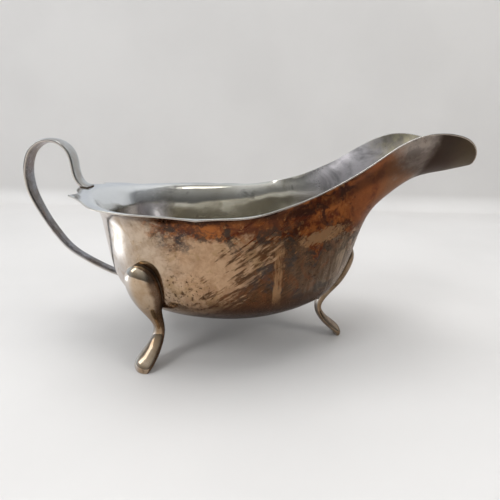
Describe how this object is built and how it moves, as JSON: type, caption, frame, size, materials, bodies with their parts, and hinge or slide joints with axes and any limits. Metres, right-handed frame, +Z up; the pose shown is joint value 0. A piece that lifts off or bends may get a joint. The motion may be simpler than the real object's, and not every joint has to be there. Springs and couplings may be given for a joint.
{
  "type": "sauce boat",
  "caption": "Footed metal sauce boat with a boat-shaped bowl, long rising pouring spout, wavy flared rim and a looped strap handle.",
  "frame": {"origin": "on the table plane under the three feet, at the middle of the overall length and width", "axes": "+X along the length towards the pouring lip, with the handle at -X; +Y to the left when facing the lip; +Z up"},
  "size_m": [0.1807, 0.0926, 0.089],
  "materials": {
    "silver_body": "polished silver plate with heavy brown and blue-grey tarnish",
    "silver_cast": "polished silver plate with light tarnish in the hollows",
    "solder": "dull silver solder"
  },
  "bodies": {
    "root": {"bowl": "silver_body", "handle": "silver_cast", "leg_front": "silver_cast", "leg_rear_left": "silver_cast", "leg_rear_right": "silver_cast", "solder_handle_lower": "solder", "solder_handle_upper": "solder", "solder_leg_front": "solder", "solder_leg_rear_left": "solder", "solder_leg_rear_right": "solder"}
  },
  "joints": []
}
